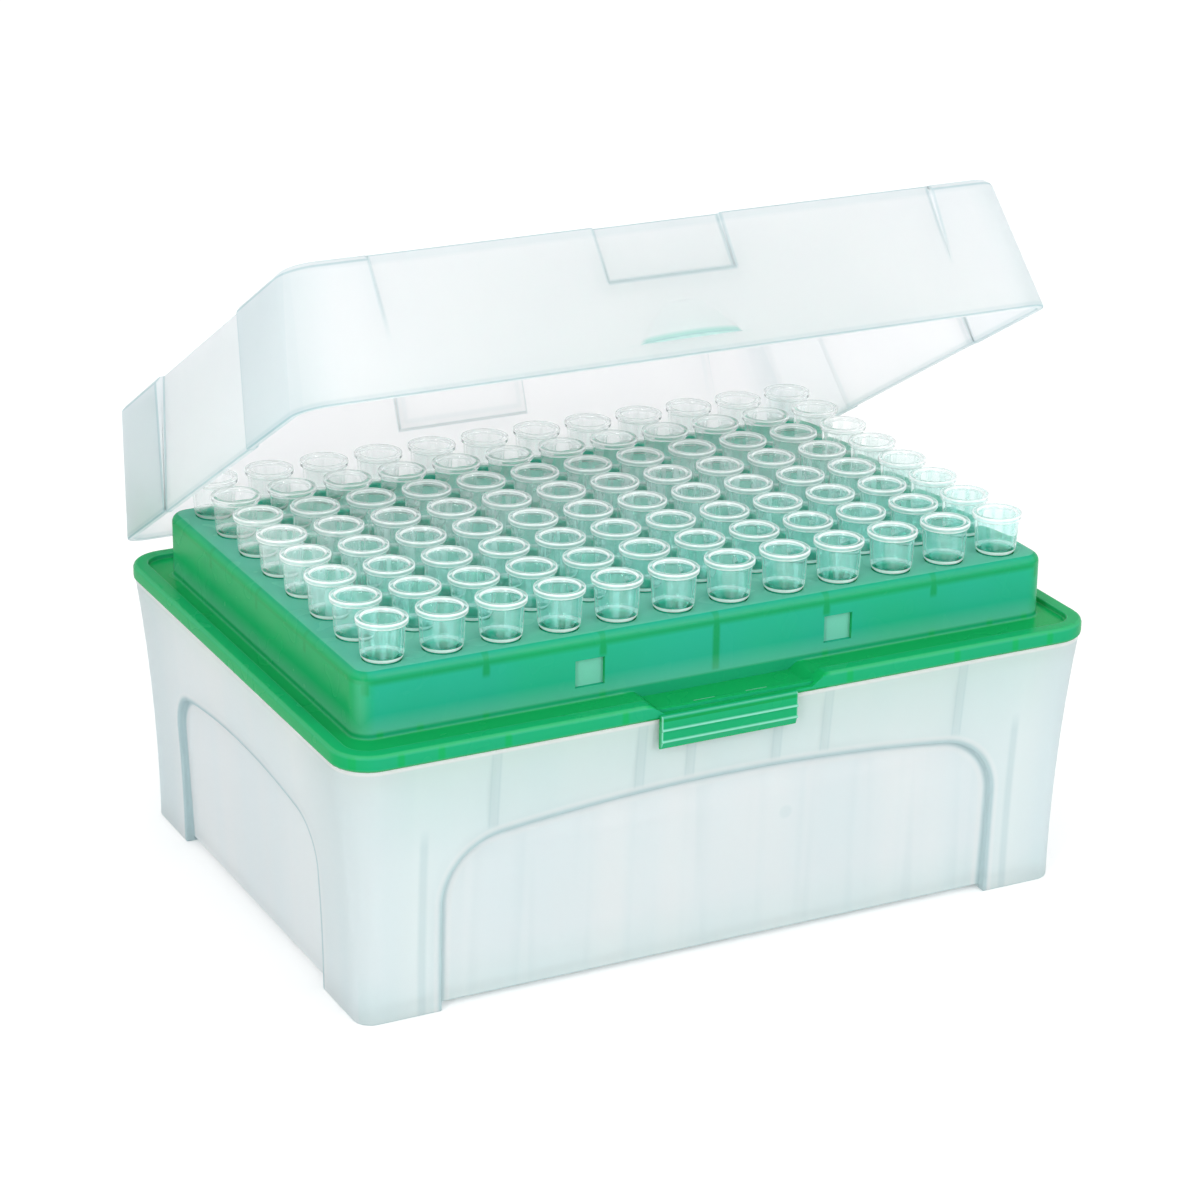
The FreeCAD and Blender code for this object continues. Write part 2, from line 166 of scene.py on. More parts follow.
def near_line(tree, value, places, half_width, soft):
    """1 within half_width of any of the places, falling to 0 over the soft distance."""
    nearest = None
    for place in places:
        away = unsigned(tree, maths(tree, "SUBTRACT", value, place))
        nearest = away if nearest is None else maths(tree, "MINIMUM", nearest, away)
    return ramp(tree, nearest, half_width + soft, half_width)


def frosted_plastic(name, tone, see_through, glow_through, marks):
    """Milky polypropylene that softens the light going through it, with skin grain, clouds and flow marks.

    marks gives, from a tree and a position, the shares of painted shade and moulded marks, of painted green
    seen behind the wall and of painted white highlights.
    """
    material, tree, output = new_material(name)
    place = object_place(tree)
    clouds = add_node(tree, "TexNoise", Vector=place, Scale=0.045, Detail=1.0, Roughness=0.5)
    drawn = drawn_out(tree, place, 0.06)
    flow = add_node(tree, "TexNoise", Vector=drawn, Scale=0.16, Detail=1.0, Roughness=0.5)
    grain = add_node(tree, "TexNoise", Vector=place, Scale=1.6, Detail=0.0)
    share = total(tree, ramp(tree, clouds.outputs["Fac"], 0.35, 0.7, 0.0, 0.4),
                  ramp(tree, flow.outputs["Fac"], 0.35, 0.65, 0.0, 0.5))
    colour = blend_colours(tree, share, *tone)
    shade_and_marks, painted_teal, lit = marks(tree, place)
    colour = blend_colours(tree, painted_teal, colour, painted_frosted_teal)
    colour = blend_colours(tree, shade_and_marks, colour, painted_shade_and_mark)
    colour = blend_colours(tree, lit, colour, plain_white)
    gloss = ramp(tree, grain.outputs["Fac"], 0.3, 0.7, 0.28, 0.38)
    skin = add_node(tree, "Bump", Strength=0.03, Distance=0.00004, Height=grain.outputs["Fac"])
    clear = add_node(tree, "BsdfPrincipled", Base_Color=colour, Roughness=gloss, Normal=skin.outputs[0])
    clear.inputs["IOR"].default_value = 1.25
    clear.inputs["Transmission Weight"].default_value = see_through
    milky = add_node(tree, "BsdfTranslucent", Color=colour, Normal=skin.outputs[0])
    mixed = add_node(tree, "MixShader", i0=glow_through, i1=clear.outputs[0], i2=milky.outputs[0])
    tree.links.new(mixed.outputs[0], output.inputs["Surface"])
    return material


def rounded_copy(node, radius, wanted=lambda place: True):
    """CAD node's mesh in millimetres, its sharp edges rounded and the crest of each rounding marked."""
    same_place, flat_angle, sharp_angle = 0.004, 0.6, 28
    mesh = bmesh.new()
    mesh.from_mesh(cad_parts[node].data)
    bmesh.ops.scale(mesh, vec=(1 / mm, 1 / mm, 1 / mm), verts=mesh.verts)
    bmesh.ops.remove_doubles(mesh, verts=mesh.verts, dist=same_place)
    bmesh.ops.dissolve_limit(mesh, angle_limit=math.radians(flat_angle), verts=mesh.verts, edges=mesh.edges)
    sharp = [edge for edge in mesh.edges if edge.calc_face_angle(0) > math.radians(sharp_angle)
             and wanted((edge.verts[0].co + edge.verts[1].co) / 2)]
    made = bmesh.ops.bevel(mesh, geom=sharp, offset=radius, offset_type="OFFSET", segments=3, profile=0.5,
                           affect="EDGES", clamp_overlap=False)
    mark = mesh.verts.layers.float.new("edge")
    rounded = set(made["faces"])
    for vertex in mesh.verts:
        vertex[mark] = float(all(face in rounded for face in vertex.link_faces))
    return mesh


def finish_mesh(name, mesh, material, body, smooth=35):
    """Object from a mesh drawn in millimetres, smooth up to an angle, riding on its body."""
    bmesh.ops.scale(mesh, vec=(mm, mm, mm), verts=mesh.verts)
    data = bpy.data.meshes.new(name)
    mesh.to_mesh(data)
    mesh.free()
    data.shade_smooth()
    data.set_sharp_from_angle(angle=math.radians(smooth))
    data.materials.append(material)
    piece = bpy.data.objects.new(name, data)
    bpy.context.scene.collection.objects.link(piece)
    piece.modifiers.new("even_faces", "WEIGHTED_NORMAL").keep_sharp = True
    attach(piece, body)
    return piece


def arch_away(tree, along, z, half_width, spring, corner, crown):
    """Distance outward from an arch with upright sides, round shoulders and a crown tangent to them."""
    across, rise = half_width - corner, crown - spring
    crown_radius = (across ** 2 + rise ** 2 - corner ** 2) / (2 * (rise - corner))
    middle = crown - crown_radius
    lean = across / (spring - middle)
    beside = largest(tree, maths(tree, "SUBTRACT", along, across), 0.0)
    above = largest(tree, maths(tree, "SUBTRACT", z, spring), 0.0)
    up = maths(tree, "SUBTRACT", z, middle)
    from_shoulder = maths(tree, "SUBTRACT", length(tree, beside, above), corner)
    from_crown = maths(tree, "SUBTRACT", length(tree, along, up), crown_radius)
    on_shoulder = maths(tree, "GREATER_THAN", along, product(tree, up, lean))
    return total(tree, product(tree, on_shoulder, from_shoulder),
                 product(tree, left_over(tree, on_shoulder), from_crown))


def tub_marks(tree, place):
    """Painted shade at the arches' steps, the ribs behind the long walls and the corner legs, painted green
    that shows on top, and painted white highlights by the steps and along the top.
    """
    axes = add_node(tree, "SeparateXYZ", Vector=place)
    x, y, z = [axes.outputs[axis] for axis in "XYZ"]
    along_x, along_y = unsigned(tree, x), unsigned(tree, y)
    on_long = ramp(tree, along_y, 38.9, 39.2)
    off_long = left_over(tree, on_long)
    on_end = product(tree, ramp(tree, along_x, 54.5, 55.0), off_long)
    long_away = arch_away(tree, along_x, z, **long_arch)
    end_away = arch_away(tree, along_y, z, **end_arch)
    off_walls = left_over(tree, largest(tree, on_long, on_end))
    away = total(tree, product(tree, on_long, long_away), product(tree, on_end, end_away),
                 product(tree, 9.0, off_walls))
    outside = ramp(tree, away, -0.2, 0.3)
    # Painted shade along the arch's step, and painted highlight lines just inside and outside it
    step = product(tree, near_line(tree, away, (0.1,), 0.35, 0.7), ramp(tree, on_long, 0.0, 1.0, 0.9, 0.7))
    glow = product(tree, near_line(tree, away, (-1.2, 0.95), 0.1, 0.5), 0.5)

    # Painted shade of the ribs behind the long walls above the arch, each with two darker edges, and of the
    # legs' inner steps
    rib_edges = [rib + side * wall_rib_half for rib in wall_ribs for side in (-1, 1)]
    ribs = largest(tree, product(tree, near_line(tree, along_x, wall_ribs, 0.5, 0.3), 0.18),
                   product(tree, near_line(tree, along_x, rib_edges, 0.05, 0.3), 0.28))
    ribs = product(tree, ribs, outside, ramp(tree, z, 27.0, 28.0))
    legs = product(tree, near_line(tree, along_x, (leg_step,), 0.35, 0.5), ramp(tree, z, 29.5, 26.5), 0.3)

    # Painted shade of the tips that show faintly through the recessed wall
    drawn = drawn_out(tree, place, 0.02)
    streak = add_node(tree, "TexNoise", Vector=drawn, Scale=0.5, Detail=0.0).outputs["Fac"]
    pins = near_line(tree, maths(tree, "WRAP", x, -tip_pitch, 0.0), (-tip_pitch / 2,), 0.6, 2.2)
    pins = product(tree, pins, 0.10, ramp(tree, streak, 0.4, 0.6), left_over(tree, outside))
    shade_and_marks = product(tree, largest(tree, ribs, pins, legs), on_long)
    # Painted shade along the arch's step and the rounded edges
    shade_and_marks = largest(tree, shade_and_marks, step, product(tree, edge_mark(tree), 0.4))

    # Painted shade on the corners, where more wall lies one behind the other, and the round gate mark on the
    # front
    corner = total(tree, product(tree, ramp(tree, along_x, 49.0, 56.0), on_long),
                   product(tree, ramp(tree, along_y, 22.0, 36.0), off_long))
    gate = add_node(tree, "VectorMath", [("operation", "DISTANCE")], i0=place, i1=gate_place).outputs["Value"]
    shade_and_marks = largest(tree, shade_and_marks, product(tree, corner, outside, 0.26),
                    product(tree, ramp(tree, gate, 1.3, 0.9), 0.16))
    # Painted teal of the green seen through the wall above the arch, a teal tint toward the foot of the long
    # walls, and painted white highlights by the arch's step and along the top
    painted_teal = product(tree, outside, ramp(tree, z, 25.0, 38.5, 0.15, 0.45),
                   ramp(tree, along_x, 56.0, 50.0, 0.15, 1.0))
    painted_teal = largest(tree, painted_teal, product(tree, ramp(tree, z, 9.0, 0.5, 0.0, 0.3), on_long))
    return shade_and_marks, painted_teal, largest(tree, glow, ramp(tree, z, 39.0, 39.3, 0.0, 0.9))


frosted_tub = frosted_plastic("frosted_base", tub_tone, 0.3, 0.35, tub_marks)
tub = finish_mesh("frosted_tub", rounded_copy("base", round_over), frosted_tub, "box")
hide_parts("base")

# ---------------------------------------------------------------- Tip rack
# Green insert that holds the tips upright and lifts out of the tub: one polypropylene moulding
# with a raised plateau of 96 holes, a flange with a rim and a channel round it, a lowered
# platform with two slits, and a thumb ledge over the front wall.

plateau_half = (55.4, 36.3)
flange_half = (60.2, 43.5)
plateau_corner, flange_corner = 2.8, 5.8
plate_top, flange_top, channel_top, seat_level = 51.2, 42.2, 41.4, 39.8
plate_under, plateau_wall = 50.0, 1.2
platform_half, platform_ramp, platform_top = 11.8, 2.4, 40.5
platform_stations = (11.8, 12.4, 13.07, 13.6, 14.2)
window_place, window_half, window_low, window_high = 20.0, 2.3, 43.5, 47.6
slit_place, slit_half, slit_line, slit_depth = 4.2, 1.6, -41.1, 0.4
slit_stations = (2.45, 2.6, 5.8, 5.95)
rib_pitch, rib_half, rib_foot = 18.0, 0.5, 42.0
flange_cells = (18.0, 36.0, 46.0, 52.0, 58.5)
hole_radius, hole_steps = 2.75, 28
corner_steps = 8
# Mint is the plastic's own colour; deep green serves its cloudy tone and painted shade, the pale mint painted
# light and the band green painted shade
wall_mint = (0.024, 0.51, 0.33, 1)
deep_green_tone_and_shade = (0.008, 0.54, 0.15, 1)
painted_light_mint = (0.42, 0.90, 0.78, 1)
painted_shade_green = (0.006, 0.38, 0.10, 1)
tip_centres = [((column - (tip_columns - 1) / 2) * tip_pitch, (row - (tip_rows - 1) / 2) * tip_pitch)
               for column in range(tip_columns) for row in range(tip_rows)]


def ring_stations(half, fixed):
    """Stations along a straight side: the given places and plain steps between them."""
    return sorted(set(round(p, 4) for p in fixed if abs(p) < half) | {-half, half})


front_stations = ring_stations(52.0, [step * 3.0 for step in range(-17, 18)] + [
    side * (window_place + edge) for side in (-1, 1) for edge in (-window_half, window_half)] + [
    side * place for side in (-1, 1) for place in slit_stations + platform_stations])
end_stations = ring_stations(33.0, [step * 3.0 for step in range(-11, 12)])


def outline_ring(half, corner, inset):
    """Rounded rectangle, counter-clockwise from the front left, with the same count of points at any size."""
    half_x, half_y = half[0] - inset, half[1] - inset
    radius = max(corner - inset, 0.2)
    points = [(x, -half_y) for x in front_stations]
    sides = [(half_x - radius, -half_y + radius, -90), (half_x - radius, half_y - radius, 0),
             (-half_x + radius, half_y - radius, 90), (-half_x + radius, -half_y + radius, 180)]
    runs = [[(half_x, y) for y in end_stations], [(-x, half_y) for x in front_stations],
            [(-half_x, -y) for y in end_stations], []]
    for (centre_x, centre_y, start), run in zip(sides, runs):
        for step in range(corner_steps + 1):
            turn = math.radians(start + 90 * step / corner_steps)
            points.append((centre_x + radius * math.cos(turn), centre_y + radius * math.sin(turn)))
        points += run
    return points


def platform_level(x):
    """Height of the lowered platform and its two ramps at a place along the front."""
    beyond = abs(x) - platform_half
    return platform_top + max(beyond, 0) * (flange_top - platform_top) / platform_ramp


def rack_section():
    """Rack's section from the plateau's edge to the underside of its plate, as rings with marks for painted
    pale light along the edges.
    """
    plateau, flange = (plateau_half, plateau_corner), (flange_half, flange_corner)
    section = []
    edge = 1.3
    for step, mark in enumerate((0, 0, 0, 0.1, 0.1, 0, 0)):
        turn = math.radians(90 * step / 6)
        section.append((plateau, edge * (1 - math.sin(turn)), plate_top - edge * (1 - math.cos(turn)), mark))
    section += [(plateau, inset, z, mark) for inset, z, mark in (
        (0, 47.6, 0), (0, 43.5, 0), (0, 41.8, 0), (-0.12, 41.52, 0.3), (-0.4, channel_top, 0))]
    section += [(flange, inset, z, mark) for inset, z, mark in (
        (2.9, channel_top, 0), (2.75, channel_top, 0), (2.55, channel_top, 0), (2.4, 41.5, 0.2),
        (2.35, 42.0, 0), (2.2, 42.17, 0.35), (2.05, flange_top, 0), (0.6, flange_top, 0),
        (0.34, 42.13, 0.2), (0.12, 41.92, 0.2), (0, 41.6, 0), (0, 40.25, 0), (0.06, 40.0, 0.3),
        (0.25, seat_level, 0), (0.8, seat_level, 0), (0.8, 41.0, 0), (1.6, 41.0, 0),
        (1.6, seat_level, 0), (2.0, seat_level, 0), (2.0, 36.95, 0), (2.15, 36.8, 0), (2.85, 36.8, 0),
        (3.0, 36.95, 0), (3.0, 40.2, 0))]
    section += [(plateau, plateau_wall, 40.2, 0), (plateau, plateau_wall, plate_under, 0)]
    return section


def plate_faces(mesh, ring, z, up, radius):
    """Flat face inside a ring of vertices with the 96 round holes left open; gives the holes' rings."""
    points = [Vector((vertex.co.x, vertex.co.y)) for vertex in ring]
    vertices, edges = list(ring), [(i, (i + 1) % len(ring)) for i in range(len(ring))]
    rings = []
    for centre_x, centre_y in tip_centres:
        start = len(points)
        hole = []
        for step in range(hole_steps):
            turn = 2 * math.pi * step / hole_steps
            x = centre_x + radius * math.cos(turn)
            y = centre_y + radius * math.sin(turn)
            points.append(Vector((x, y)))
            hole.append(mesh.verts.new((x, y, z)))
            edges.append((start + step, start + (step + 1) % hole_steps))
        vertices += hole
        rings.append(hole)
    flat = delaunay_2d_cdt(points, edges, [], 1, 1e-5)
    places, faces, sources = flat[0], flat[2], flat[3]
    for face in faces:
        middle = sum((places[i] for i in face), Vector((0, 0))) / len(face)
        near_x = (round(middle.x / tip_pitch - 0.5) + 0.5) * tip_pitch
        near_y = (round(middle.y / tip_pitch - 0.5) + 0.5) * tip_pitch
        in_grid = abs(near_x) < tip_columns / 2 * tip_pitch and abs(near_y) < tip_rows / 2 * tip_pitch
        if in_grid and math.hypot(middle.x - near_x, middle.y - near_y) < radius * 0.99:
            continue
        corners = [vertices[sources[i][0]] for i in (face if up else reversed(face))]
        mesh.faces.new(corners)
    return rings


def rack_mesh():
    """Rack in millimetres: its section carried round, the plate with its holes, windows, slits and ribs."""
    outer_rings = 25
    mesh = bmesh.new()
    mark = mesh.verts.layers.float.new("edge")
    rings = []
    for (half, corner), inset, z, weight in rack_section():
        outside = len(rings) < outer_rings
        ring = []
        for x, y in outline_ring(half, corner, inset):
            lowered = outside and y < -plateau_half[1] - 0.001 and z > seat_level
            ring.append(mesh.verts.new((x, y, min(z, platform_level(x)) if lowered else z)))
            ring[-1][mark] = 0 if lowered and abs(x) < platform_half + platform_ramp else weight
            # Painted pale light up the plateau's rounded corners
            beyond_x, beyond_y = abs(x) - half[0] + corner, abs(y) - half[1] + corner
            if outside and 43 < z < 50 and half == plateau_half and min(beyond_x, beyond_y) > 0:
                ring[-1][mark] = 0.3 * (2 * beyond_x * beyond_y / corner ** 2) ** 3
        rings.append(ring)
    for upper, lower in zip(rings, rings[1:]):
        for i in range(len(upper)):
            j = (i + 1) % len(upper)
            mesh.faces.new((upper[i], lower[i], lower[j], upper[j]))
    top = plate_faces(mesh, rings[0], plate_top, True, hole_radius + 0.2)
    bottom = plate_faces(mesh, rings[-1], plate_under, False, hole_radius)
    for (centre_x, centre_y), upper, lower in zip(tip_centres, top, bottom):
        middle = []
        for drop, radius in ((0.07, hole_radius + 0.06), (0.2, hole_radius)):
            middle.append([mesh.verts.new((centre_x + radius * math.cos(2 * math.pi * s / hole_steps),
                                           centre_y + radius * math.sin(2 * math.pi * s / hole_steps),
                                           plate_top - drop)) for s in range(hole_steps)])
        loops = [upper, *middle, lower]
        for first, second in zip(loops, loops[1:]):
            for i in range(hole_steps):
                j = (i + 1) % hole_steps
                mesh.faces.new((first[i], first[j], second[j], second[i]))
    bmesh.ops.remove_doubles(mesh, verts=mesh.verts, dist=0.001)
    bmesh.ops.recalc_face_normals(mesh, faces=mesh.faces)
    for side in (-1, 1):
        sink(mesh, lambda c: abs(abs(c.x) - window_place) < window_half and window_low < c.z < window_high
             and c.y * side > plateau_half[1] - 0.1, (0, -side * 0.6, 0))
    slits = sink(mesh, lambda c: abs(abs(c.x) - slit_place) < slit_half and abs(c.y - slit_line) < 0.35
                 and abs(c.z - platform_top) < 0.05, (0, 0, -slit_depth))
    # Painted pale light round the slits' edges
    for vertex in slits:
        for edge in vertex.link_edges:
            edge.other_vert(vertex)[mark] = 1.3
    for step in (-2, -1, 0, 1, 2):
        add_rib(mesh, step * rib_pitch, 0, rib_half, plateau_half[1] - plateau_wall)
    for step in (-1, 0, 1):
        add_rib(mesh, 0, step * rib_pitch, plateau_half[0] - plateau_wall, rib_half)
    return mesh


def add_rib(mesh, middle_x, middle_y, half_x, half_y):
    """Thin upright plate in the plateau's hollow, from the underside of the plate down."""
    corners = [mesh.verts.new((middle_x + x * half_x, middle_y + y * half_y, z))
               for z in (rib_foot, plate_under) for x, y in ((-1, -1), (1, -1), (1, 1), (-1, 1))]
    for face in ((3, 2, 1, 0), (4, 5, 6, 7), (0, 1, 5, 4), (1, 2, 6, 5), (2, 3, 7, 6), (3, 0, 4, 7)):
        mesh.faces.new([corners[i] for i in face])


def sink(mesh, inside, depth):
    """Sinks the faces whose middle is inside a region by a step."""
    faces = [face for face in mesh.faces if inside(face.calc_center_median())]
    made = bmesh.ops.extrude_face_region(mesh, geom=faces)
    sunk = [item for item in made["geom"] if isinstance(item, bmesh.types.BMVert)]
    bmesh.ops.translate(mesh, verts=sunk, vec=depth)
    bmesh.ops.delete(mesh, geom=faces, context="FACES_ONLY")
    return sunk


def green_plastic():
    """Clear green polypropylene with painted light and shade: pale where the wall is thin, deep over ribs,
    edges and the flange, and set by which way each face looks.
    """
    material, tree, output = new_material("green_rack")
    place = object_place(tree)
    clouds = add_node(tree, "TexNoise", Vector=place, Scale=0.05, Detail=2.0, Roughness=0.5).outputs["Fac"]
    grain = add_node(tree, "TexNoise", Vector=place, Scale=0.3, Detail=0.0).outputs["Fac"]
    axes = add_node(tree, "SeparateXYZ", Vector=place)
    x, y, z = [axes.outputs[axis] for axis in "XYZ"]
    along_x, along_y = unsigned(tree, x), unsigned(tree, y)
    facing = add_node(tree, "SeparateXYZ", Vector=add_node(tree, "TexCoord").outputs["Normal"])
    on_long, on_short, level = [unsigned(tree, facing.outputs[axis]) for axis in "YXZ"]
    upright = left_over(tree, level)

    # Painted shade of the ribs behind the plateau's wall: the middle one runs to the foot, the others show as
    # short ticks
    near_x, near_y = [unsigned(tree, maths(tree, "WRAP", axis, -rib_pitch / 2, rib_pitch / 2))
                      for axis in (x, y)]
    ribs = largest(tree, product(tree, ramp(tree, near_x, 0.75, 0.35), on_long),
                   product(tree, ramp(tree, near_y, 0.75, 0.35), on_short))
    tick_end = ramp(tree, ramp(tree, along_x, 2.0, 1.5), 0.0, 1.0, 47.4, 42.0)
    ribs = product(tree, ribs, ramp(tree, maths(tree, "SUBTRACT", z, tick_end), 0.0, 0.8))

    # Painted shade in darker bands: under the plate's edge, along the flange's foot and on the low walls, and
    # on the short walls by the way they face
    band = product(tree, ramp(tree, z, 49.0, 49.7), ramp(tree, z, 51.15, 50.8))
    shade = largest(tree, product(tree, ribs, 0.8), product(tree, band, upright, 0.75))
    shade = product(tree, shade, ramp(tree, z, 42.3, 42.6))
    lip = product(tree, ramp(tree, z, 40.35, 40.05), ramp(tree, z, 39.6, 39.7))
    low = product(tree, ramp(tree, z, 42.4, 42.2), upright)
    shade = largest(tree, shade, lip, product(tree, largest(tree, low, on_short), 0.4))

    # Painted deep green: shade of the ribs across the flange, its foot, and its level faces and the short
    # walls by the way they face
    cells = near_line(tree, along_x, flange_cells, 0.3, 0.5)
    front = largest(tree, product(tree, cells, 0.9), ramp(tree, z, 40.2, 39.95),
                    ramp(tree, level, 0.2, 0.8, 0.18, 1.0))
    front = product(tree, front, ramp(tree, y, -44.0, -43.6, 0.35, 1.0))
    flange = product(tree, ramp(tree, z, 42.9, 42.0), front)
    painted_deep = largest(tree, flange, product(tree, on_short, 0.8))
    colour = blend_colours(tree, painted_deep, wall_mint, deep_green_tone_and_shade)
    colour = blend_colours(tree, shade, colour, painted_shade_green)
    # The plastic's own cloudy tone, in the same deep green
    colour = blend_colours(tree, ramp(tree, clouds, 0.35, 0.7, 0.0, 0.25), colour, deep_green_tone_and_shade)

    # Painted pale light: the windows' thin floors, the foot of the wall, the rounded edges and the plate's
    # top, most in the middle of the plate
    beside_window = unsigned(tree, maths(tree, "SUBTRACT", along_x, window_place))
    window = product(tree, ramp(tree, beside_window, 2.35, 2.25), ramp(tree, z, 43.45, 43.55),
                     ramp(tree, z, 47.65, 47.55), on_long, ramp(tree, along_y, 35.9, 35.8))
    foot = product(tree, ramp(tree, z, 45.0, 42.5), upright, ramp(tree, z, 42.0, 42.4))
    plate = product(tree, ramp(tree, z, 51.1, 51.15), ramp(tree, level, 0.9, 0.95))
    inner = product(tree, ramp(tree, along_x, 53.0, 45.0), ramp(tree, along_y, 34.0, 26.0))
    pale = largest(tree, product(tree, edge_mark(tree), 0.5), product(tree, foot, 0.22),
                   product(tree, window, 0.5),
                   product(tree, plate, ramp(tree, inner, 0.0, 1.0, 0.28, 0.65)))
    colour = blend_colours(tree, pale, colour, painted_light_mint)
    skin = add_node(tree, "Bump", Strength=0.015, Distance=0.00003, Height=clouds)
    gloss = ramp(tree, grain, 0.3, 0.7, 0.22, 0.28)
    solid = add_node(tree, "BsdfPrincipled", Base_Color=colour, Roughness=gloss, Normal=skin.outputs[0])
    solid.inputs["Specular IOR Level"].default_value = 0.12
    milky = add_node(tree, "BsdfTranslucent", Color=colour, Normal=skin.outputs[0])
    mixed = add_node(tree, "MixShader", i0=0.35, i1=solid.outputs[0], i2=milky.outputs[0])
    tree.links.new(mixed.outputs[0], output.inputs["Surface"])
    return material


green = green_plastic()
rack = finish_mesh("green_tip_rack", rack_mesh(), green, "box")


def ledge_outline():
    """Section of the thumb ledge: upright bar with two rounded ridges and a toe that leans in; each point's
    third number is the share of painted pale light on its crest.
    """
    face, back = -44.3, -43.4
    points = [(back - 0.05, platform_top, 0), (face + 0.35, platform_top, 0),
              (face + 0.1, platform_top - 0.08, 0.5), (face, platform_top - 0.35, 0)]
    for ridge in (38.4, 36.7):
        points += [(face, ridge + 0.28, 0)]
        points += [(face - 0.3 * math.cos(math.radians(turn)),
                    ridge + 0.2 * math.sin(math.radians(turn)), crest)
                   for turn, crest in ((75, 0.6), (45, 1.6), (15, 1.6), (-15, 0.6), (-45, 0), (-75, 0))]
        points += [(face, ridge - 0.28, 0)]
    return points + [(face + 0.5, 35.5, 0), (face + 0.6, 35.4, 0), (back - 0.1, 35.4, 0), (back, 35.5, 0),
                     (back, seat_level, 0), (back - 0.05, seat_level, 0)]


def ledge_mesh():
    """Thumb ledge in millimetres: its section run along the front wall, with eased ends and painted pale light
    on the ridges and the ends.
    """
    mesh = bmesh.new()
    mark = mesh.verts.layers.float.new("edge")
    outline = ledge_outline()
    sections = []
    for x, shrink, end in ((-12.7, 0.15, 0.5), (-12.6, 0.03, 1.6), (-12.45, 0, 0), (8.85, 0, 0),
                           (9.0, 0.03, 1.2), (9.1, 0.15, 0.5)):
        sections.append([mesh.verts.new((x, y + (shrink if y < -44 else 0), z)) for y, z, crest in outline])
        # Painted pale light along the ridges' crests and on the ends' front faces
        for vertex, (y, z, crest) in zip(sections[-1], outline):
            vertex[mark] = max(crest, end if y < -44 else 0)
    mesh.faces.new(sections[0])
    mesh.faces.new(sections[-1][::-1])
    for first, second in zip(sections, sections[1:]):
        for i in range(len(outline)):
            j = (i + 1) % len(outline)
            mesh.faces.new((first[i], second[i], second[j], first[j]))
    bmesh.ops.recalc_face_normals(mesh, faces=mesh.faces)
    return mesh


finish_mesh("thumb_ledge", ledge_mesh(), green, "box")
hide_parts("tip_rack")

# ---------------------------------------------------------------- Tips
# 96 clear polypropylene pipette tips, each a thin hollow cone with a stepped collar and a
# rim at its mouth. They stand loose in the rack's holes by the collar's shoulder.

tip_steps = 32
tip_outside = [(3.08, 57.3), (3.52, 57.3), (3.64, 57.26), (3.70, 57.17), (3.72, 57.05), (3.71, 56.70),
               (3.67, 56.55), (3.57, 56.45), (3.42, 56.38), (3.33, 56.28), (3.29, 56.05), (3.18, 54.0),
               (3.08, 52.2), (3.04, 51.9), (2.95, 51.62), (2.80, 51.38), (2.62, 51.22), (2.52, 51.0),
               (2.48, 50.0), (1.95, 32.0), (0.85, 14.0), (0.42, 7.5), (0.38, 7.3)]
tip_inside = [(0.22, 7.3), (0.2, 7.6), (0.5, 14.0), (1.45, 32.0), (1.75, 49.6), (1.82, 51.2),
              (1.95, 51.6), (2.25, 51.85), (2.48, 52.1), (2.56, 52.5), (2.66, 54.6), (2.74, 56.8),
              (2.80, 57.05), (2.92, 57.24)]
tip_section = tip_outside + tip_inside
# Painted teal of the rack's green seen through the front rows, the front rows' painted see-through tint, and
# painted green light on the necks in the rack
painted_front_teal, rear_white = (0.36, 0.88, 0.82, 1), (0.97, 1.0, 1.0, 1)
painted_front_tint, rear_tint = (0.92, 0.988, 0.982, 1), (0.995, 1.0, 1.0, 1)
painted_neck_green = (0.03, 0.55, 0.36, 1)


def tips_mesh(column):
    """One column of tips in millimetres, each a section turned round its own axis."""
    mesh = bmesh.new()
    for row in range(tip_rows):
        centre_x, centre_y = tip_centres[column * tip_rows + row]
        loops = []
        for radius, z in tip_section:
            loops.append([mesh.verts.new((centre_x + radius * math.cos(2 * math.pi * s / tip_steps),
                                          centre_y + radius * math.sin(2 * math.pi * s / tip_steps), z))
                          for s in range(tip_steps)])
        for first, second in zip(loops, loops[1:] + loops[:1]):
            for i in range(tip_steps):
                j = (i + 1) % tip_steps
                mesh.faces.new((first[i], second[i], second[j], first[j]))
    bmesh.ops.recalc_face_normals(mesh, faces=mesh.faces)
    return mesh


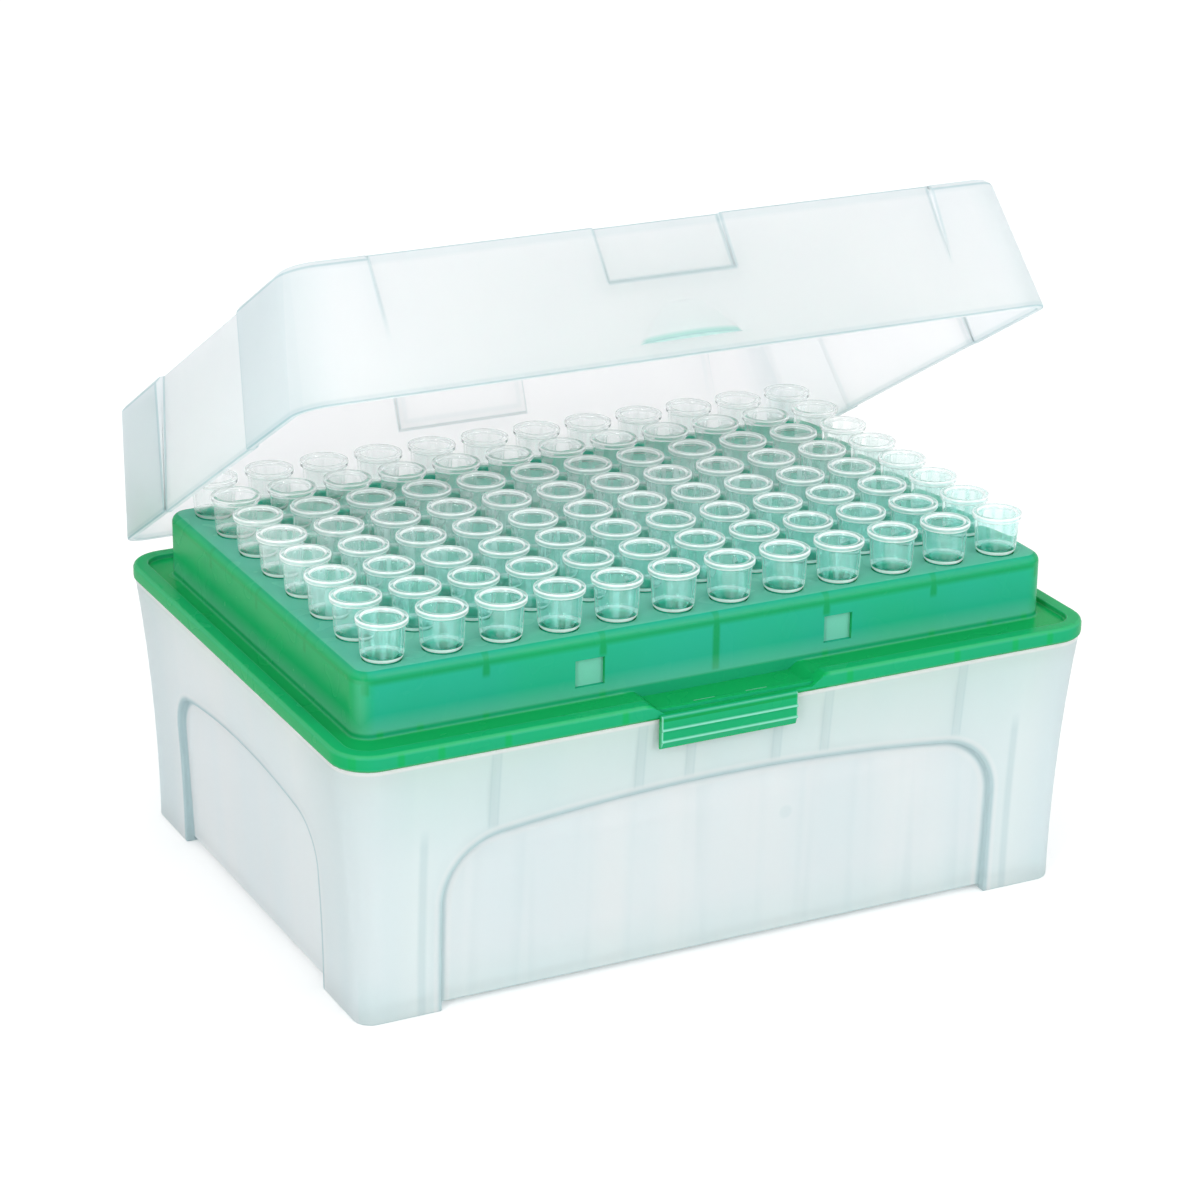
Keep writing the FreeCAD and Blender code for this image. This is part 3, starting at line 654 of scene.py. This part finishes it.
def clear_plastic():
    """Clear polypropylene, seen through where it is thin, with painted white highlights at its outline, rim
    edges and shoulder.
    """
    material, tree, output = new_material("clear_tip")
    place = object_place(tree)
    grain = add_node(tree, "TexNoise", Vector=place, Scale=0.8, Detail=0.0).outputs["Fac"]
    axes = add_node(tree, "SeparateXYZ", Vector=place)
    y, height = axes.outputs["Y"], axes.outputs["Z"]
    across = [maths(tree, "WRAP", maths(tree, "SUBTRACT", axes.outputs[axis], tip_pitch / 2), -tip_pitch / 2,
                    tip_pitch / 2) for axis in "XY"]
    radius = length(tree, *across)

    # Painted white highlights: the rim's two edges, the edge of the mouth and the collar's shoulder
    rim_edges = near_line(tree, height, (56.5, 57.2), 0.08, 0.14)
    rim_side = product(tree, ramp(tree, rim_edges, 0.0, 1.0, 0.4, 1.0), ramp(tree, radius, 3.45, 3.6))
    mouth_edge = product(tree, ramp(tree, height, 56.9, 57.1), ramp(tree, radius, 3.12, 2.98))
    shoulder = product(tree, ramp(tree, height, 51.95, 51.85), ramp(tree, height, 51.15, 51.3),
                       ramp(tree, radius, 2.6, 2.8))
    painted_white_edges = largest(tree, product(tree, rim_side, 0.85), product(tree, mouth_edge, 0.8),
                          product(tree, shoulder, 0.9))

    # Painted white outline where the wall turns away from view, quiet over the floor inside the collar; these
    # highlights fade toward the rear
    inner_floor = product(tree, ramp(tree, height, 52.4, 52.1), ramp(tree, radius, 2.62, 2.55))
    quiet = left_over(tree, product(tree, inner_floor, 0.85))
    grazing = add_node(tree, "LayerWeight", Blend=0.5).outputs["Facing"]
    outline = product(tree, maths(tree, "POWER", grazing, 4.0), 0.95, quiet)
    edges = maths(tree, "MINIMUM", total(tree, painted_white_edges, outline), 0.92)
    edges = product(tree, edges, ramp(tree, y, 5.0, 32.0, 1.0, 0.5))

    # Haze in the wall: streaks, and painted light that puts more of it in the middle rows and less toward the
    # rear
    drawn = drawn_out(tree, place, 0.04)
    streaks = add_node(tree, "TexNoise", Vector=drawn, Scale=0.9, Detail=0.0).outputs["Fac"]
    veil = total(tree, ramp(tree, grain, 0.3, 0.7, 0.02, 0.06), ramp(tree, streaks, 0.54, 0.68, 0.0, 0.22),
                 ramp(tree, unsigned(tree, y), 29.0, 14.0, 0.0, 0.09))
    veil = product(tree, veil, ramp(tree, y, 5.0, 25.0, 1.0, 0.3))

    # Painted green light on the neck in the rack's plate, and the cone under the plate is hazy
    in_rack = product(tree, ramp(tree, height, 52.0, 51.5), ramp(tree, height, 47.0, 48.5),
                      left_over(tree, shoulder))
    hidden = largest(tree, product(tree, in_rack, 0.85), ramp(tree, height, 48.0, 47.0, 0.0, 0.6))
    share = largest(tree, edges, veil, hidden)
    # Painted teal of the rack's green seen through the front rows, fading to white toward the rear
    colour = blend_colours(tree, ramp(tree, y, -34.0, 10.0), painted_front_teal, rear_white)
    colour = blend_colours(tree, ramp(tree, edges, 0.1, 0.5), colour, plain_white)
    colour = blend_colours(tree, in_rack, colour, painted_neck_green)
    skin = add_node(tree, "Bump", Strength=0.02, Distance=0.00003, Height=grain)
    gloss = ramp(tree, grain, 0.3, 0.7, 0.08, 0.16)
    wall = add_node(tree, "BsdfPrincipled", Base_Color=colour, Roughness=gloss, Normal=skin.outputs[0])
    milky = add_node(tree, "BsdfTranslucent", Color=colour)
    white = add_node(tree, "MixShader", i0=ramp(tree, shoulder, 0.0, 1.0, 0.3, 0.4), i1=wall.outputs[0],
                     i2=milky.outputs[0])
    # Painted see-through tint, greener in the front rows than in the rear
    tint = blend_colours(tree, ramp(tree, y, -34.0, 20.0), painted_front_tint, rear_tint)
    see = add_node(tree, "BsdfTransparent", Color=tint)
    skin_of_wall = add_node(tree, "BsdfGlass", Color=tint, Roughness=0.02, IOR=1.05)
    outer = product(tree, ramp(tree, radius, 2.94, 2.96), ramp(tree, height, 51.9, 52.0))
    clear = add_node(tree, "MixShader", i0=outer, i1=see.outputs[0], i2=skin_of_wall.outputs[0])
    mixed = add_node(tree, "MixShader", i0=share, i1=clear.outputs[0], i2=white.outputs[0])
    shine = add_node(tree, "BsdfGlossy", Color=plain_white, Roughness=gloss, Normal=skin.outputs[0])
    mirror = total(tree, product(tree, maths(tree, "POWER", grazing, 5.0), 0.4), 0.05)
    mirror = product(tree, mirror, ramp(tree, height, 51.6, 52.4))
    coated = add_node(tree, "MixShader", i0=mirror, i1=mixed.outputs[0], i2=shine.outputs[0])
    tree.links.new(coated.outputs[0], output.inputs["Surface"])
    return material


clear = clear_plastic()
for column in range(tip_columns):
    tips = finish_mesh(f"clear_tips_{column + 1:02d}", tips_mesh(column), clear, "box")
    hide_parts(f"tip_column_{column + 1:02d}")

# ---------------------------------------------------------------- Lid
# Frosted hinged cover, moulded in one shot in the same polypropylene as the tub, with
# drafted walls, pressed-in panels, a thumb lip and two clips that snap over the tub's pins.

lid_turn = 30.8
hinge_point = (0.0, 45.4, 38.3)
cover_tone = ((1.0, 0.993, 1.0, 1), (0.985, 0.98, 0.992, 1))
panel_side, end_panel_side = 44.5, 19.8
notch_half, notch_level = 10.0, 54.5
foot_level = 42.8


def lid_turned(tree, vector, centre=(0.0, 0.0, 0.0)):
    """A position or direction in the lid as if it were closed."""
    return add_node(tree, "VectorRotate", [("rotation_type", "X_AXIS")], Vector=vector, Center=centre,
                    Angle=math.radians(lid_turn)).outputs[0]


def cover_marks(tree, place):
    """Painted shade at the steps of the panels and the notch, the edges, and the corners and top where the
    wall is seen edge-on, and a painted green reflection under the thumb lip.
    """
    axes = add_node(tree, "SeparateXYZ", Vector=lid_turned(tree, place, hinge_point))
    x, y, z = [axes.outputs[axis] for axis in "XYZ"]
    along_x, along_y = unsigned(tree, x), unsigned(tree, y)
    on_long = ramp(tree, along_y, 39.0, 39.4)
    on_end = left_over(tree, on_long)
    end_face = ramp(tree, along_x, 52.0, 53.0)
    normal = add_node(tree, "TexCoord").outputs["Normal"]
    facing = add_node(tree, "SeparateXYZ", Vector=lid_turned(tree, normal))
    outward = total(tree, product(tree, facing.outputs["X"], x), product(tree, facing.outputs["Y"], y))

    # Painted shade lines round the pressed-in panels and the notch, stronger on the outside than on the inside
    panels = product(tree, near_line(tree, along_x, (panel_side,), 0.2, 0.35), ramp(tree, z, 50.0, 57.0))
    notch_sides = product(tree, near_line(tree, along_x, (notch_half,), 0.2, 0.35), ramp(tree, z, 54.2, 54.6))
    notch_floor = product(tree, near_line(tree, z, (notch_level,), 0.2, 0.35),
                          ramp(tree, along_x, 10.4, 10.0))
    steps = product(tree, largest(tree, panels, notch_sides, notch_floor), on_long)
    ends = product(tree, near_line(tree, along_y, (end_panel_side,), 0.25, 0.35), end_face)
    steps = product(tree, largest(tree, steps, ends), ramp(tree, outward, -5.0, 5.0, 0.1, 0.42))
    edges = product(tree, edge_mark(tree), ramp(tree, outward, -5.0, 5.0, 0.3, 0.5))

    # Painted shade on the upright corners, the wall's top edge, the end walls, the inside of the top and the
    # lid's foot
    from_end = maths(tree, "SUBTRACT", ramp(tree, z, 42.5, 62.9, 59.7, 56.7), along_x)
    corner = product(tree, ramp(tree, from_end, 7.0, 0.5, 0.0, 0.2), on_long)
    rim = product(tree, largest(tree, ramp(tree, from_end, 1.5, 1.1, 0.0, 0.22),
                                ramp(tree, z, 61.2, 61.8, 0.0, 0.2)), on_long)
    beside = product(tree, ramp(tree, along_y, 19.6, 20.2), on_end)
    side = product(tree, end_face, on_end, ramp(tree, outward, -5.0, 5.0, 0.25, 1.0))
    inner_top = product(tree, ramp(tree, facing.outputs["Z"], -0.7, -0.9),
                        ramp(tree, z, 55.0, 58.0, 0.0, 0.1))
    foot = product(tree, near_line(tree, z, (foot_level,), 0.3, 0.3), 0.2)
    shade_and_marks = total(tree, largest(tree, steps, edges), largest(tree, corner, rim),
                  product(tree, side, ramp(tree, beside, 0.0, 1.0, 0.07, 0.28)),
                  largest(tree, inner_top, foot))

    # Painted green reflection of the ledge under the thumb lip
    under_lip = product(tree, ramp(tree, along_x, 9.8, 9.6), on_long, ramp(tree, z, 44.6, 44.8),
                        ramp(tree, z, 45.9, 45.3))
    return shade_and_marks, product(tree, under_lip, ramp(tree, y, -42.8, -43.3)), 0.0


def off_the_lip(place):
    """False on the thumb lip's upper flanks, which run smoothly into the wall."""
    turn = Matrix.Rotation(math.radians(lid_turn), 3, "X")
    closed = turn @ (place - Vector(hinge_point)) + Vector(hinge_point)
    return not (abs(closed.x) < 9.8 and closed.y < -42.2 and 45.1 < closed.z < 51.0)


cover_mesh = rounded_copy("lid", round_over, off_the_lip)
frosted_cover = frosted_plastic("frosted_lid", cover_tone, 0.4, 0.72, cover_marks)
cover = finish_mesh("frosted_lid", cover_mesh, frosted_cover, "lid")
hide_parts("lid")

# ---------------------------------------------------------------- Setting
# Bench and light for looking at the part: a pale matt bench, a white surround and two soft
# lamps. None of it is part of the box.

bench_size = 2.5
lamp_size, lamp_aim = (0.2, 1.0), Vector((0, 0, 0.05))
lamps = (("left_strip", (-0.75, -0.60, 0.45), 4.0), ("right_strip", (0.45, -0.90, 0.45), 3.7))
view_azimuth, view_elevation, view_roll = -27.096, 21.360, 0.775
view_aim, view_distance, view_lens = Vector((-0.01990, -0.03883, 0.0573)), 0.50287, 109.44

floor_mesh = bmesh.new()
bmesh.ops.create_grid(floor_mesh, x_segments=2, y_segments=2, size=bench_size)
floor_data = bpy.data.meshes.new("bench_top")
floor_mesh.to_mesh(floor_data)
floor_mesh.free()
floor = bpy.data.objects.new("bench_top", floor_data)
bpy.context.scene.collection.objects.link(floor)


def seen_directly(tree):
    """1 for what the camera, a mirror or clear plastic sees, 0 for light that falls on things."""
    path = add_node(tree, "LightPath")
    return largest(tree, path.outputs["Is Camera Ray"], path.outputs["Is Glossy Ray"],
                   path.outputs["Is Transmission Ray"])


bench, tree, output = new_material("bench_white")
matt = add_node(tree, "BsdfDiffuse", Color=(0.9, 0.9, 0.9, 1))
glow = add_node(tree, "Emission", Color=plain_white, Strength=product(tree, seen_directly(tree), 0.16))
both = add_node(tree, "AddShader", i0=matt.outputs[0], i1=glow.outputs[0])
tree.links.new(both.outputs[0], output.inputs["Surface"])
floor_data.materials.append(bench)

world = bpy.data.worlds.new("soft_room")
bpy.context.scene.world = world
world.use_nodes = True
tree = world.node_tree
tree.nodes.clear()
output = tree.nodes.new("ShaderNodeOutputWorld")
level = add_node(tree, "MapRange", Value=seen_directly(tree), To_Min=0.95, To_Max=1.0)
surround = add_node(tree, "Background", Color=plain_white, Strength=level.outputs[0])
tree.links.new(surround.outputs[0], output.inputs["Surface"])

for name, place, power in lamps:
    lamp = bpy.data.lights.new(name, "AREA")
    lamp.shape, lamp.size, lamp.size_y, lamp.energy = "RECTANGLE", lamp_size[0], lamp_size[1], power
    holder = bpy.data.objects.new(name, lamp)
    bpy.context.scene.collection.objects.link(holder)
    holder.location = place
    holder.rotation_euler = (lamp_aim - Vector(place)).to_track_quat("-Z", "Y").to_euler()

camera = bpy.data.cameras.new("camera")
camera.lens = view_lens
camera_holder = bpy.data.objects.new("camera", camera)
bpy.context.scene.collection.objects.link(camera_holder)
azimuth, elevation, roll = [math.radians(angle) for angle in (view_azimuth, view_elevation, view_roll)]
flat = math.cos(elevation)
back = Vector((math.sin(azimuth) * flat, -math.cos(azimuth) * flat, math.sin(elevation)))
right = (-back).cross(Vector((0, 0, 1))).normalized()
up = right.cross(-back)
side = math.cos(roll) * right + math.sin(roll) * up
top = math.cos(roll) * up - math.sin(roll) * right
turn = Matrix((side, top, back)).transposed().to_4x4()
camera_holder.matrix_world = Matrix.Translation(view_aim + back * view_distance) @ turn
bpy.context.scene.camera = camera_holder
bpy.context.scene.view_settings.view_transform = "Standard"
